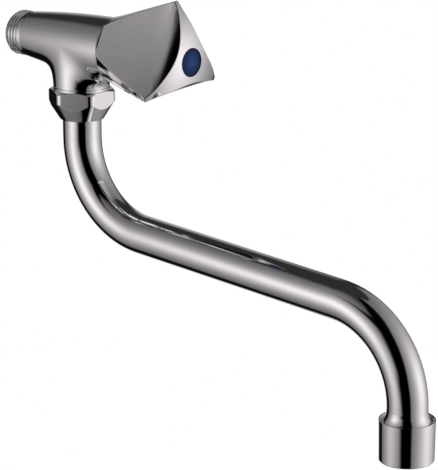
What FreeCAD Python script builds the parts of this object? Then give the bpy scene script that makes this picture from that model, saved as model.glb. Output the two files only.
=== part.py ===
"""Wall-mounted cold water tap with a three-sided handle and a swivelling S-shaped spout.

Millimetres and degrees. The origin is on the inlet axis, at the shoulder that the inlet thread ends at.
+Y points into the wall, -Y out of it towards the user, +Z up.
"""
import FreeCAD, Part
import math
import os
import re

import Sketcher

VALVE_AXIS_TURN = 90
LEFT = 1
RIGHT = -1
HEX_SIDES = 6
HANDLE_SIDES = 3
SPLINE_TEETH = 20
SPLINE_HALF_ANGLE = 4
JET_HOLES = 18
GRID_SECTOR_CELLS = ((1, 0), (2, 0), (1, 1), (2, 1))

# stations along a handle side from its back, then along its scallop with the scallop's depth and the hollow
SIDE_FLAT_SHARES = (0, 0.25, 0.5, 0.75)
SCALLOP_LENGTH_SHARES = (0, 0.25, 0.5, 0.75, 1)
SCALLOP_DEPTH_SHARES = (0, 0.04, 0.15, 0.48, 1)
SCALLOP_HOLLOW_SHARES = (1, 0.6, 0.2, 0.15, 0.15)

# name: (value, what it measures)
SIZES = {
    # inlet and barrel of the cast body
    "inlet_thread_dia": (20.955, "major diameter of the pipe thread that enters the wall"),
    "inlet_thread_length": (10.5, "thread with its plain run-out"),
    "inlet_thread_chamfer": (1.0, "lead-in at the end of the thread"),
    "inlet_bore_dia": (13.0, "waterway from the wall to the valve seat"),
    "barrel_back_dia": (21.6, "barrel at the wall"),
    "barrel_front_dia": (28.2, "barrel at the handle"),
    "barrel_curve_radius": (458.0, "swell of the barrel along its length"),
    "barrel_length": (52.3, "wall to the front rim"),
    "barrel_round": (0.4, "rounding of the front rim"),
    "spout_setback": (22.8, "front rim to the axis the spout swivels on"),
    # outlet leg of the cast body
    "leg_swell": (0.88, "outlet leg over the straight taper of the barrel where they meet"),
    "leg_drop": (20.0, "inlet axis to the shoulder above the union nut"),
    "leg_blend": (8.0, "cast hollow between leg and barrel"),
    "leg_shoulder": (1.1, "step from the leg in to the thread that takes the union nut"),
    "outlet_thread_length": (9.0, "length of that thread"),
    "outlet_port_dia": (13.0, "waterway down from the valve chamber"),
    "tail_bore_depth": (12.0, "socket for the spout, up from the end of the leg"),
    # valve chamber and seat
    "seat_depth": (31.3, "front rim to the face of the valve seat"),
    "seat_lip_height": (1.0, "raised lip of the seat"),
    "seat_lip_dia": (15.0, "outside of the lip"),
    "seat_bore_dia": (11.5, "opening that the valve washer closes"),
    "seat_throat": (2.0, "length of that opening"),
    "seat_lead": (1.0, "cone from the waterway to that opening"),
    "chamber_dia": (19.2, "valve chamber"),
    "bonnet_bore_depth": (12.5, "tapped length in the front of the barrel"),
    # headwork
    "bonnet_thread_dia": (20.955, "thread that screws into the barrel"),
    "bonnet_thread_length": (12.0, "engaged length of that thread"),
    "bonnet_flange_dia": (22.4, "flange that presses the gasket"),
    "bonnet_flange_thickness": (2.0, "flange"),
    "bonnet_hex_width": (19.0, "across flats of the spanner hexagon"),
    "bonnet_hex_length": (6.5, "hexagon"),
    "bonnet_neck_dia": (14.0, "neck that carries the spindle"),
    "bonnet_neck_length": (11.0, "neck"),
    "bonnet_sleeve_dia": (18.4, "sleeve inside the chamber"),
    "bonnet_sleeve_length": (6.5, "sleeve behind the thread"),
    "guide_length": (15.0, "hexagonal guide of the plunger"),
    "grease_chamber_dia": (13.0, "space between the guide and the spindle's bearing"),
    "gasket_thickness": (1.0, "fibre ring between flange and barrel"),
    "gasket_bore_dia": (21.2, "inside of that ring"),
    # spindle
    "spindle_dia": (9.0, "bearing shaft of the spindle"),
    "spindle_bearing_length": (15.7, "bore that the shaft turns in"),
    "spindle_collar_dia": (11.0, "collar that holds the spindle in"),
    "spindle_collar_thickness": (2.5, "collar"),
    "drive_thread_dia": (8.0, "left-hand thread that lifts the plunger"),
    "drive_thread_length": (17.5, "that thread"),
    "thrust_washer_thickness": (0.8, "slip ring in front of the collar"),
    "clip_gap": (0.2, "bonnet to the clip"),
    "clip_thickness": (1.0, "spring clip"),
    "clip_dia": (11.6, "outside of the spring clip"),
    "clip_groove_dia": (6.6, "groove of the clip"),
    "clip_opening": (4.4, "gap of the clip"),
    "spline_dia": (8.0, "splined end under the handle"),
    "spline_length": (9.0, "splined end"),
    "spline_depth": (0.45, "depth of a spline groove"),
    "spindle_seal_section": (1.6, "thickness of a spindle seal"),
    "spindle_seal_place": (4.0, "bearing shoulder to the first seal"),
    "spindle_seal_pitch": (5.0, "first seal to the second"),
    "seal_groove_slack": (0.5, "room beside a seal in its groove"),
    # plunger
    "plunger_hex_width": (11.0, "across flats of the sliding stem"),
    "plunger_stem_length": (18.9, "stem in front of the plate"),
    "plunger_plate_dia": (16.0, "plate behind the valve washer"),
    "plunger_plate_thickness": (2.0, "plate"),
    "plunger_lift": (4.5, "travel from shut to fully open"),
    "plunger_end_room": (1.0, "room past the spindle when open"),
    "valve_washer_dia": (15.6, "rubber valve washer"),
    "valve_washer_thickness": (3.5, "valve washer"),
    "washer_screw_dia": (4.0, "screw through the valve washer"),
    "washer_screw_length": (7.0, "shank of that screw"),
    "washer_screw_head_dia": (7.0, "head"),
    "washer_screw_head_height": (1.6, "head"),
    # handle
    "handle_gap": (0.3, "barrel to the handle"),
    "handle_neck_dia": (30.4, "ring at the back of the handle"),
    "handle_neck_length": (0.9, "that ring"),
    "handle_length": (45.8, "back of the handle to the top of its dome"),
    "handle_corner_radius": (27.0, "axis to the corners"),
    "handle_dome_radius": (48.5, "crown of the front face"),
    "handle_corner_width": (2.4, "flat at each corner"),
    "side_back_distance": (13.5, "axis to a side at the back"),
    "side_distance": (12.65, "axis to a side where its scallop starts"),
    "scallop_distance": (8.9, "axis to the scallop at the front"),
    "scallop_length": (9.0, "scallop back from the top of the dome"),
    "handle_edge_round": (0.45, "rounding of the edges"),
    "handle_cavity_dia": (23.4, "room round the flange and hexagon"),
    "handle_cavity_depth": (10.3, "that room"),
    "handle_well_dia": (16.0, "room round the neck and clip"),
    "handle_web": (3.6, "wall that the handle screw clamps"),
    "handle_tilt": (2.9, "turn of the handle from upright"),
    "insert_hex_width": (12.5, "across flats of the nylon insert"),
    "insert_length": (9.2, "nylon insert"),
    "insert_gap": (0.4, "clip to the insert"),
    "screw_dia": (5.0, "handle screw"),
    "screw_length": (12.2, "shank of the handle screw"),
    "screw_head_dia": (9.0, "head of the handle screw"),
    "screw_head_height": (3.0, "head of the handle screw"),
    "screw_drive_width": (4.0, "across flats of the key socket"),
    "screw_drive_depth": (1.8, "key socket"),
    "screw_well_dia": (10.4, "well above the screw head"),
    "screw_hole_depth": (10.5, "tapped hole in the spindle"),
    "index_dia": (13.0, "coloured index disc"),
    "index_seat_depth": (3.6, "dome top to the seat of the disc"),
    "index_crown": (0.5, "rise of the disc's face"),
    "index_sink": (0.35, "dome top to the top of the disc"),
    # union nut
    "nut_width": (28.0, "across flats"),
    "nut_height": (14.0, "hexagon with its lower cone"),
    "nut_collar_dia": (26.4, "round collar on the nut"),
    "nut_collar_height": (1.0, "that collar"),
    "nut_low_dia": (20.7, "lower end of the cone"),
    "nut_cone_angle": (32.0, "half angle of the cone"),
    "nut_floor_thickness": (3.0, "floor that carries the spout"),
    # spout
    "tube_dia": (18.0, "spout tube"),
    "tube_wall": (1.0, "wall of the tube"),
    "spout_drop": (44.6, "inlet axis to the first bend"),
    "bend_radius": (40.5, "both bends, on the tube's centre line"),
    "spout_slope": (3.8, "fall of the straight run"),
    "spout_run": (115.5, "straight run between the bends"),
    "outlet_straight": (0.9, "second bend to the flare"),
    "flare_length": (5.6, "flare at the outlet"),
    "outlet_male_dia": (22.0, "male thread for the aerator"),
    "outlet_male_length": (7.4, "that thread"),
    "tail_dia": (17.9, "spout tail inside the leg"),
    "tail_wall": (3.2, "wall of the tail"),
    "tail_top_gap": (0.5, "tail to the top of its socket"),
    "tail_flange_dia": (20.6, "flange that the union nut holds"),
    "tail_flange_thickness": (2.0, "flange"),
    "tail_flange_gap": (0.3, "leg to the flange"),
    "tail_spigot_length": (6.0, "spigot brazed into the tube"),
    "tail_seal_section": (2.0, "thickness of a spout seal"),
    "tail_seal_place": (3.4, "tail top to the first seal"),
    "tail_seal_pitch": (4.4, "first seal to the second"),
    "slip_washer_thickness": (1.0, "nylon ring under the flange"),
    # aerator
    "aerator_top_dia": (24.6, "aerator housing at its top"),
    "aerator_low_dia": (24.1, "aerator housing at its mouth"),
    "aerator_height": (18.5, "aerator housing"),
    "aerator_round": (0.6, "rounding at the mouth"),
    "aerator_lip": (1.2, "lip that holds the insert"),
    "aerator_mouth_dia": (18.8, "opening in the lip"),
    "aerator_rim_bevel": (0.5, "bevel inside the top rim"),
    "sleeve_dia": (20.8, "insert sleeve"),
    "sleeve_wall": (0.9, "wall of the sleeve"),
    "sleeve_height": (6.0, "sleeve"),
    "sleeve_ledge": (0.8, "ledge that the grid rests on"),
    "grid_thickness": (2.4, "honeycomb outlet grid"),
    "grid_pitch": (2.5, "spacing of its cells"),
    "grid_bar": (0.45, "bars between its cells"),
    "jet_plate_thickness": (1.4, "jet plate"),
    "jet_hole_dia": (1.2, "holes of the jet plate"),
    "jet_ring_radius": (6.6, "ring of those holes"),
    "strainer_thickness": (0.8, "strainer disc"),
    "strainer_hole_dia": (1.4, "holes of the strainer"),
    "strainer_pitch": (2.3, "spacing of those holes"),
    "outlet_washer_thickness": (1.8, "rubber washer of the aerator"),
    "outlet_washer_bore_dia": (15.0, "inside of that washer"),
    # fits
    "running_clearance": (0.05, "radial gap of turning and sliding fits"),
    "thread_clearance": (0.05, "radial gap of screwed fits"),
    "free_clearance": (0.2, "radial gap of parts that only pass"),
    "seat_gap": (0.1, "valve washer to its seat when shut"),
    "overrun": (2.0, "how far a cut passes its stock"),
}

# name: formula of sizes. "out" is a distance from the wall, "drop" one below the inlet axis.
PLACES = {
    "spout_out": "barrel_length - spout_setback",
    "barrel_at_spout_dia": "barrel_back_dia"
                           " + (barrel_front_dia - barrel_back_dia) * spout_out / barrel_length",
    "leg_dia": "barrel_at_spout_dia + leg_swell",
    "outlet_thread_dia": "leg_dia - 2 * leg_shoulder",
    "seat_out": "barrel_length - seat_depth",
    "flange_back_out": "barrel_length + gasket_thickness",
    "flange_front_out": "flange_back_out + bonnet_flange_thickness",
    "bonnet_hex_front_out": "flange_front_out + bonnet_hex_length",
    "neck_front_out": "bonnet_hex_front_out + bonnet_neck_length",
    "bonnet_thread_back_out": "barrel_length - bonnet_thread_length",
    "sleeve_back_out": "bonnet_thread_back_out - bonnet_sleeve_length",
    "guide_front_out": "sleeve_back_out + guide_length",
    "guide_width": "plunger_hex_width + 2 * running_clearance",
    "bearing_out": "neck_front_out - spindle_bearing_length",
    "bearing_dia": "spindle_dia + 2 * running_clearance",
    "thrust_front_out": "bearing_out - running_clearance",
    "collar_front_out": "thrust_front_out - thrust_washer_thickness",
    "collar_back_out": "collar_front_out - spindle_collar_thickness",
    "spindle_back_out": "collar_back_out - drive_thread_length",
    "clip_back_out": "neck_front_out + clip_gap",
    "clip_front_out": "clip_back_out + clip_thickness",
    "spindle_tip_out": "clip_front_out + spline_length",
    "spindle_seal_ring": "bearing_dia / 2 - running_clearance - spindle_seal_section / 2",
    "spindle_groove_dia": "2 * spindle_seal_ring - spindle_seal_section",
    "inner_seal_out": "bearing_out + spindle_seal_place",
    "outer_seal_out": "inner_seal_out + spindle_seal_pitch",
    "valve_washer_out": "seat_out + seat_gap",
    "plate_back_out": "valve_washer_out + valve_washer_thickness",
    "plate_front_out": "plate_back_out + plunger_plate_thickness",
    "stem_front_out": "plate_front_out + plunger_stem_length",
    "plunger_bore_out": "spindle_back_out - plunger_lift - plunger_end_room",
    "handle_back_out": "barrel_length + handle_gap",
    "handle_neck_out": "handle_back_out + handle_neck_length",
    "handle_top_out": "handle_back_out + handle_length",
    "handle_corner_out": "handle_top_out - handle_dome_radius"
                         " + sqrt(handle_dome_radius * handle_dome_radius"
                         " - handle_corner_radius * handle_corner_radius)",
    "corner_along": "sqrt(handle_corner_radius * handle_corner_radius"
                    " - handle_corner_width * handle_corner_width / 4)",
    "side_half_width": "corner_along * cos(30) - handle_corner_width / 4",
    "side_corner_distance": "corner_along / 2 + handle_corner_width / 2 * cos(30)",
    "scallop_out": "handle_top_out - scallop_length",
    "handle_reach": "handle_corner_radius + overrun",
    "handle_cavity_out": "handle_back_out + handle_cavity_depth",
    "insert_back_out": "clip_front_out + insert_gap",
    "insert_front_out": "insert_back_out + insert_length",
    "web_front_out": "insert_front_out + handle_web",
    "index_seat_out": "handle_top_out - index_seat_depth",
    "index_top_out": "handle_top_out - index_sink",
    "index_edge_out": "index_top_out - index_crown",
    "leg_end_drop": "leg_drop + outlet_thread_length",
    "tail_socket_drop": "leg_end_drop - tail_bore_depth",
    "tail_socket_dia": "tail_dia + 2 * running_clearance",
    "tail_top_drop": "tail_socket_drop + tail_top_gap",
    "tail_flange_drop": "leg_end_drop + tail_flange_gap",
    "tube_top_drop": "tail_flange_drop + tail_flange_thickness",
    "tail_spigot_drop": "tube_top_drop + tail_spigot_length",
    "tail_bore_dia": "tail_dia - 2 * tail_wall",
    "tail_seal_ring": "tail_socket_dia / 2 - running_clearance - tail_seal_section / 2",
    "tail_groove_dia": "2 * tail_seal_ring - tail_seal_section",
    "upper_seal_drop": "tail_top_drop + tail_seal_place",
    "lower_seal_drop": "upper_seal_drop + tail_seal_pitch",
    "slip_washer_drop": "tube_top_drop + slip_washer_thickness",
    "nut_floor_drop": "slip_washer_drop + running_clearance",
    "nut_low_drop": "nut_floor_drop + nut_floor_thickness",
    "nut_hex_drop": "nut_low_drop - nut_height",
    "nut_top_drop": "nut_hex_drop - nut_collar_height",
    "nut_pocket_dia": "tail_flange_dia + 2 * free_clearance",
    "nut_corner_dia": "nut_width / cos(30)",
    "tube_bore_dia": "tube_dia - 2 * tube_wall",
    "bend_one_out": "bend_radius * (1 - sin(spout_slope))",
    "bend_fall": "bend_radius * cos(spout_slope)",
    "run_out": "bend_one_out + spout_run * cos(spout_slope)",
    "run_start_drop": "spout_drop + bend_fall",
    "run_end_drop": "run_start_drop + spout_run * sin(spout_slope)",
    "reach": "run_out + bend_one_out",
    "bend_end_drop": "run_end_drop + bend_fall",
    "flare_drop": "bend_end_drop + outlet_straight",
    "flare_end_drop": "flare_drop + flare_length",
    "flare_width": "(outlet_male_dia - tube_dia) / 2",
    "flare_radius": "(flare_width * flare_width + flare_length * flare_length) / (2 * flare_width)",
    "tube_end_drop": "flare_end_drop + outlet_male_length",
    "aerator_stack": "aerator_lip + sleeve_height + strainer_thickness + outlet_washer_thickness",
    "aerator_low_drop": "tube_end_drop + aerator_stack",
    "sleeve_bore_dia": "sleeve_dia - 2 * sleeve_wall",
    "strainer_base": "aerator_lip + sleeve_height",
    "outlet_washer_base": "strainer_base + strainer_thickness",
    "grid_base": "aerator_lip + sleeve_ledge",
    "jet_plate_base": "grid_base + grid_thickness",
}

doc = FreeCAD.newDocument("wall_tap")
sheet = doc.addObject("Spreadsheet::Sheet", "Sizes")
for row, (size_name, (size, meaning)) in enumerate(SIZES.items(), start=1):
    sheet.set(f"A{row}", size_name)
    sheet.set(f"B{row}", str(size))
    sheet.setAlias(f"B{row}", size_name)
    sheet.set(f"C{row}", meaning)
doc.recompute()


def formula(text):
    """The text with every size and place written out in cells of the sheet."""
    def written(match):
        name = match.group(0)
        if name in SIZES:
            return "Sizes." + name
        if name in PLACES:
            return "(" + formula(PLACES[name]) + ")"
        return name
    return re.sub(r"[a-z_]+", written, text)


def value(text):
    return float(sheet.evalExpression(formula(text)))


def new_body(label, out="0", drop="0", valve_axis=False):
    """A body placed on the tap; on the valve axis its own Z points out of the wall and its Y up."""
    body = doc.addObject("PartDesign::Body", label)
    turn = VALVE_AXIS_TURN if valve_axis else 0
    body.Placement = FreeCAD.Placement(FreeCAD.Vector(), FreeCAD.Rotation(FreeCAD.Vector(1, 0, 0), turn))
    body.setExpression("Placement.Base.y", formula(f"-({out})"))
    body.setExpression("Placement.Base.z", formula(f"-({drop})"))
    return body


def origin_part(body, role):
    return next(part for part in body.Origin.OriginFeatures if part.Role == role)


def new_sketch(body, name, role, shift_axis=None, shift="0"):
    sketch = body.newObject("Sketcher::SketchObject", f"{body.Name}_{name}")
    sketch.AttachmentSupport = (origin_part(body, role), [""])
    sketch.MapMode = "FlatFace"
    if shift_axis:
        sketch.setExpression(f"AttachmentOffset.Base.{shift_axis}", formula(shift))
    return sketch


def bind(sketch, kind, places, text):
    """A dimension of the sketch that follows the sheet."""
    index = sketch.addConstraint(Sketcher.Constraint(kind, *places, value(text)))
    sketch.setExpression(f"Constraints[{index}]", formula(text))


def pin_point(sketch, geometry, end, across, along):
    """Holds one end of a line or arc at a place given by two formulas."""
    for kind, axis, text in (("DistanceX", -2, across), ("DistanceY", -1, along)):
        if text == "0":
            sketch.addConstraint(Sketcher.Constraint("PointOnObject", geometry, end, axis))
        else:
            bind(sketch, kind, (-1, 1, geometry, end), text)


def arc_through(start, finish, radius, side):
    """The shorter arc between two points whose centre lies on the given side of the way."""
    chord = finish - start
    left = FreeCAD.Vector(-chord.y, chord.x, 0).normalize()
    rise = math.sqrt(max(radius ** 2 - (chord.Length / 2) ** 2, 0))
    centre = (start + finish) / 2 + left * (rise * side)
    first, last = (start, finish) if side == LEFT else (finish, start)
    angles = [math.atan2(point.y - centre.y, point.x - centre.x) for point in (first, last)]
    circle = Part.Circle(centre, FreeCAD.Vector(0, 0, 1), radius)
    return Part.ArcOfCircle(circle, angles[0], angles[1])


def draw(sketch, corners, closed=True):
    """Lines through the corners; a corner with a radius and a side starts an arc to the next one."""
    points = [FreeCAD.Vector(value(corner[0]), value(corner[1]), 0) for corner in corners]
    edges = len(corners) if closed else len(corners) - 1
    ends = []
    for index in range(edges):
        start = points[index]
        finish = points[(index + 1) % len(points)]
        if len(corners[index]) == 2:
            geometry = sketch.addGeometry(Part.LineSegment(start, finish), False)
            ends.append((geometry, 1, 2))
            continue
        radius, side = corners[index][2:]
        geometry = sketch.addGeometry(arc_through(start, finish, value(radius), side), False)
        ends.append((geometry, 1, 2) if side == LEFT else (geometry, 2, 1))
    for index, (geometry, first, last) in enumerate(ends):
        pin_point(sketch, geometry, first, *corners[index][:2])
        if len(corners[index]) > 2:
            bind(sketch, "Radius", (geometry,), corners[index][2])
        if closed or index + 1 < edges:
            following, follow_first, _ = ends[(index + 1) % edges]
            sketch.addConstraint(Sketcher.Constraint("Coincident", geometry, last, following, follow_first))
        else:
            pin_point(sketch, geometry, last, *corners[-1][:2])


def draw_circle(sketch, across, along, radius):
    place = FreeCAD.Vector(value(across), value(along), 0)
    geometry = sketch.addGeometry(Part.Circle(place, FreeCAD.Vector(0, 0, 1), value(radius)), False)
    pin_point(sketch, geometry, 3, across, along)
    bind(sketch, "Radius", (geometry,), radius)


def draw_hexagon(sketch, width, across="0", along="0", start_angle=0):
    corners = []
    for corner in range(HEX_SIDES):
        angle = start_angle + corner * 360 / HEX_SIDES
        corners.append((f"{across} + ({width}) / 2 / cos(30) * cos({angle})",
                        f"{along} + ({width}) / 2 / cos(30) * sin({angle})"))
    draw(sketch, corners)


def revolve(body, name, corners, kind="Revolution", shift_axis=None, shift="0"):
    """A turned form round the vertical of its own sketch."""
    sketch = new_sketch(body, name + "_outline", "XZ_Plane", shift_axis, shift)
    draw(sketch, corners)
    feature = body.newObject("PartDesign::" + kind, f"{body.Name}_{name}")
    feature.Profile = sketch
    feature.ReferenceAxis = (sketch, ["V_Axis"])
    feature.Angle = 360
    doc.recompute()
    return feature


def extrude(body, name, sketch, length, kind="Pad", backwards=False):
    feature = body.newObject("PartDesign::" + kind, f"{body.Name}_{name}")
    feature.Profile = sketch
    feature.setExpression("Length", formula(length))
    feature.Reversed = backwards
    doc.recompute()
    return feature


def bore(body, name, sketch, length):
    """A pocket that runs along the body's own Z, away from its sketch."""
    return extrude(body, name, sketch, length, kind="Pocket", backwards=True)


def polar(body, feature, count):
    pattern = body.newObject("PartDesign::PolarPattern", feature.Name + "_ring")
    pattern.Originals = [feature]
    pattern.Axis = (origin_part(body, "Z_Axis"), [""])
    pattern.Angle = 360
    pattern.Occurrences = count
    body.Tip = pattern
    doc.recompute()
    return pattern


def round_edges(body, name, base, wanted, radius):
    names = [f"Edge{index}" for index, edge in enumerate(base.Shape.Edges, start=1) if wanted(edge)]
    feature = body.newObject("PartDesign::Fillet", f"{body.Name}_{name}")
    feature.Base = (base, names)
    feature.setExpression("Radius", formula(radius))
    doc.recompute()
    return feature


def ring_outline(outer, inner, low, high):
    """Corners of a plain ring, from its outer and inner diameters and its two ends."""
    near, far = f"({inner}) / 2", f"({outer}) / 2"
    return [(near, low), (far, low), (far, high), (near, high)]


def disc_outline(outer, low, high):
    return [("0", low), (f"({outer}) / 2", low), (f"({outer}) / 2", high), ("0", high)]


def make_ring(label, outer, inner, low, high, **place):
    body = new_body(label, **place)
    revolve(body, "ring", ring_outline(outer, inner, low, high))
    return body


def make_seal(label, ring, section, out, drop="0", valve_axis=False):
    seal = doc.addObject("Part::Torus", label)
    seal.setExpression("Radius1", formula(ring))
    seal.setExpression("Radius2", formula(f"({section}) / 2"))
    turn = VALVE_AXIS_TURN if valve_axis else 0
    seal.Placement = FreeCAD.Placement(FreeCAD.Vector(), FreeCAD.Rotation(FreeCAD.Vector(1, 0, 0), turn))
    seal.setExpression("Placement.Base.y", formula(f"-({out})"))
    seal.setExpression("Placement.Base.z", formula(f"-({drop})"))
    return seal


def seal_groove(body, name, outer, floor, place, section):
    """A groove round the body's own Z for one seal."""
    width = f"({section} + seal_groove_slack) / 2"
    outline = ring_outline(f"{outer} + overrun", floor, f"{place} - {width}", f"{place} + {width}")
    return revolve(body, name, outline, kind="Groove")


def make_tap_body():
    body = new_body("tap_body", valve_axis=True)
    revolve(body, "barrel", [
        ("0", "-inlet_thread_length"),
        ("inlet_thread_dia / 2 - inlet_thread_chamfer", "-inlet_thread_length"),
        ("inlet_thread_dia / 2", "inlet_thread_chamfer - inlet_thread_length"),
        ("inlet_thread_dia / 2", "0"),
        ("barrel_back_dia / 2", "0", "barrel_curve_radius", LEFT),
        ("barrel_front_dia / 2", "barrel_length - barrel_round", "barrel_round", LEFT),
        ("barrel_front_dia / 2 - barrel_round", "barrel_length"),
        ("0", "barrel_length"),
    ])
    leg = new_sketch(body, "leg_outline", "XZ_Plane")
    draw_circle(leg, "0", "spout_out", "leg_dia / 2")
    tee = extrude(body, "leg", leg, "leg_drop")
    round_edges(body, "blend", tee, lambda edge: edge.Curve.TypeId == "Part::GeomBSplineCurve", "leg_blend")
    thread = new_sketch(body, "outlet_thread_outline", "XZ_Plane")
    draw_circle(thread, "0", "spout_out", "outlet_thread_dia / 2")
    extrude(body, "outlet_thread", thread, "leg_end_drop")
    revolve(body, "waterway", [
        ("0", "-inlet_thread_length - overrun"),
        ("inlet_bore_dia / 2", "-inlet_thread_length - overrun"),
        ("inlet_bore_dia / 2", "seat_out - seat_throat - seat_lead"),
        ("seat_bore_dia / 2", "seat_out - seat_throat"),
        ("seat_bore_dia / 2", "seat_out"),
        ("seat_lip_dia / 2", "seat_out"),
        ("seat_lip_dia / 2", "seat_out - seat_lip_height"),
        ("chamber_dia / 2", "seat_out - seat_lip_height"),
        ("chamber_dia / 2", "barrel_length - bonnet_bore_depth"),
        ("bonnet_thread_dia / 2", "barrel_length - bonnet_bore_depth"),
        ("bonnet_thread_dia / 2", "barrel_length + overrun"),
        ("0", "barrel_length + overrun"),
    ], kind="Groove")
    port = new_sketch(body, "outlet_port_outline", "XZ_Plane")
    draw_circle(port, "0", "spout_out", "outlet_port_dia / 2")
    bore(body, "outlet_port", port, "leg_end_drop + overrun")
    socket = new_sketch(body, "tail_socket_outline", "XZ_Plane", "z", "tail_socket_drop")
    draw_circle(socket, "0", "spout_out", "tail_socket_dia / 2")
    bore(body, "tail_socket", socket, "tail_bore_depth + overrun")
    return body


def make_bonnet():
    body = new_body("bonnet", valve_axis=True)
    revolve(body, "stock", [
        ("0", "sleeve_back_out"),
        ("bonnet_sleeve_dia / 2", "sleeve_back_out"),
        ("bonnet_sleeve_dia / 2", "bonnet_thread_back_out"),
        ("bonnet_thread_dia / 2 - thread_clearance", "bonnet_thread_back_out"),
        ("bonnet_thread_dia / 2 - thread_clearance", "flange_back_out"),
        ("bonnet_flange_dia / 2", "flange_back_out"),
        ("bonnet_flange_dia / 2", "flange_front_out"),
        ("bonnet_neck_dia / 2", "flange_front_out"),
        ("bonnet_neck_dia / 2", "neck_front_out"),
        ("0", "neck_front_out"),
    ])
    spanner = new_sketch(body, "spanner_outline", "XY_Plane", "z", "flange_front_out")
    draw_hexagon(spanner, "bonnet_hex_width")
    extrude(body, "spanner", spanner, "bonnet_hex_length")
    revolve(body, "bearing", [
        ("0", "guide_front_out"),
        ("grease_chamber_dia / 2", "guide_front_out"),
        ("grease_chamber_dia / 2", "bearing_out"),
        ("bearing_dia / 2", "bearing_out"),
        ("bearing_dia / 2", "neck_front_out + overrun"),
        ("0", "neck_front_out + overrun"),
    ], kind="Groove")
    guide = new_sketch(body, "guide_outline", "XY_Plane", "z", "sleeve_back_out")
    draw_hexagon(guide, "guide_width")
    bore(body, "guide", guide, "guide_length + overrun")
    return body


def make_bonnet_gasket():
    return make_ring("bonnet_gasket", "bonnet_flange_dia", "gasket_bore_dia",
                     "barrel_length", "flange_back_out", valve_axis=True)


def make_spindle():
    body = new_body("spindle", valve_axis=True)
    revolve(body, "stock", [
        ("0", "spindle_back_out"),
        ("drive_thread_dia / 2", "spindle_back_out"),
        ("drive_thread_dia / 2", "collar_back_out"),
        ("spindle_collar_dia / 2", "collar_back_out"),
        ("spindle_collar_dia / 2", "collar_front_out"),
        ("spindle_dia / 2", "collar_front_out"),
        ("spindle_dia / 2", "clip_back_out"),
        ("clip_groove_dia / 2", "clip_back_out"),
        ("clip_groove_dia / 2", "clip_front_out"),
        ("spline_dia / 2", "clip_front_out"),
        ("spline_dia / 2", "spindle_tip_out"),
        ("0", "spindle_tip_out"),
    ])
    for name, place in (("inner_groove", "inner_seal_out"), ("outer_groove", "outer_seal_out")):
        seal_groove(body, name, "spindle_dia", "spindle_groove_dia", place, "spindle_seal_section")
    tapped = new_sketch(body, "tapped_outline", "XY_Plane", "z", "spindle_tip_out - screw_hole_depth")
    draw_circle(tapped, "0", "0", "screw_dia / 2 + thread_clearance")
    bore(body, "tapped", tapped, "screw_hole_depth + overrun")
    groove = bore(body, "spline", spline_outline(body, "clip_front_out"), "spline_length + overrun")
    polar(body, groove, SPLINE_TEETH)
    return body


def spline_outline(body, start, slack="0"):
    """One V of the splines, with its point towards the axis."""
    sketch = new_sketch(body, "spline_outline", "XY_Plane", "z", start)
    base = f"spline_dia / 2 + spline_depth + {slack}"
    width = f"spline_dia * sin({SPLINE_HALF_ANGLE})"
    draw(sketch, [
        (f"spline_dia / 2 - spline_depth + {slack}", "0"),
        (base, f"-{width}"),
        (base, width),
    ])
    return sketch


def make_spindle_seals():
    return [make_seal(label, "spindle_seal_ring", "spindle_seal_section", place, valve_axis=True)
            for label, place in (("inner_spindle_seal", "inner_seal_out"),
                                 ("outer_spindle_seal", "outer_seal_out"))]


def make_thrust_washer():
    return make_ring("thrust_washer", "spindle_collar_dia", "spindle_dia + 2 * running_clearance",
                     "collar_front_out", "thrust_front_out", valve_axis=True)


def make_spindle_clip():
    body = new_body("spindle_clip", valve_axis=True)
    revolve(body, "ring", ring_outline("clip_dia", "clip_groove_dia", "clip_back_out", "clip_front_out"))
    gap = new_sketch(body, "gap_outline", "XY_Plane", "z", "clip_back_out")
    draw(gap, [
        ("-clip_opening / 2", "0"),
        ("clip_opening / 2", "0"),
        ("clip_opening / 2", "clip_dia"),
        ("-clip_opening / 2", "clip_dia"),
    ])
    bore(body, "gap", gap, "clip_thickness")
    return body


def make_valve_plunger():
    body = new_body("valve_plunger", valve_axis=True)
    revolve(body, "plate", disc_outline("plunger_plate_dia", "plate_back_out", "plate_front_out"))
    stem = new_sketch(body, "stem_outline", "XY_Plane", "z", "plate_front_out")
    draw_hexagon(stem, "plunger_hex_width")
    extrude(body, "stem", stem, "plunger_stem_length")
    thread = new_sketch(body, "drive_thread_outline", "XY_Plane", "z", "plunger_bore_out")
    draw_circle(thread, "0", "0", "drive_thread_dia / 2 + thread_clearance")
    bore(body, "drive_thread", thread, "stem_front_out - plunger_bore_out + overrun")
    hole = new_sketch(body, "screw_hole_outline", "XY_Plane", "z", "plate_back_out - overrun")
    draw_circle(hole, "0", "0", "washer_screw_dia / 2")
    bore(body, "screw_hole", hole, "overrun + washer_screw_length - valve_washer_thickness")
    return body


def make_valve_washer():
    return make_ring("valve_washer", "valve_washer_dia", "washer_screw_dia",
                     "valve_washer_out", "plate_back_out", valve_axis=True)


def make_washer_screw():
    body = new_body("washer_screw", valve_axis=True)
    revolve(body, "stock", [
        ("0", "valve_washer_out - washer_screw_head_height"),
        ("washer_screw_head_dia / 2", "valve_washer_out - washer_screw_head_height"),
        ("washer_screw_head_dia / 2", "valve_washer_out"),
        ("washer_screw_dia / 2", "valve_washer_out"),
        ("washer_screw_dia / 2", "valve_washer_out + washer_screw_length"),
        ("0", "valve_washer_out + washer_screw_length"),
    ])
    return body


def turn_with_handle(body):
    """Turns a piece of the handle about the valve axis to where the photograph shows it."""
    body.setExpression("Placement.Rotation", formula(
        f"create(<<rotation>>; create(<<vector>>; 1; 0; 0); {VALVE_AXIS_TURN})"
        " * create(<<rotation>>; create(<<vector>>; 0; 0; 1); handle_tilt)"))


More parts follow.
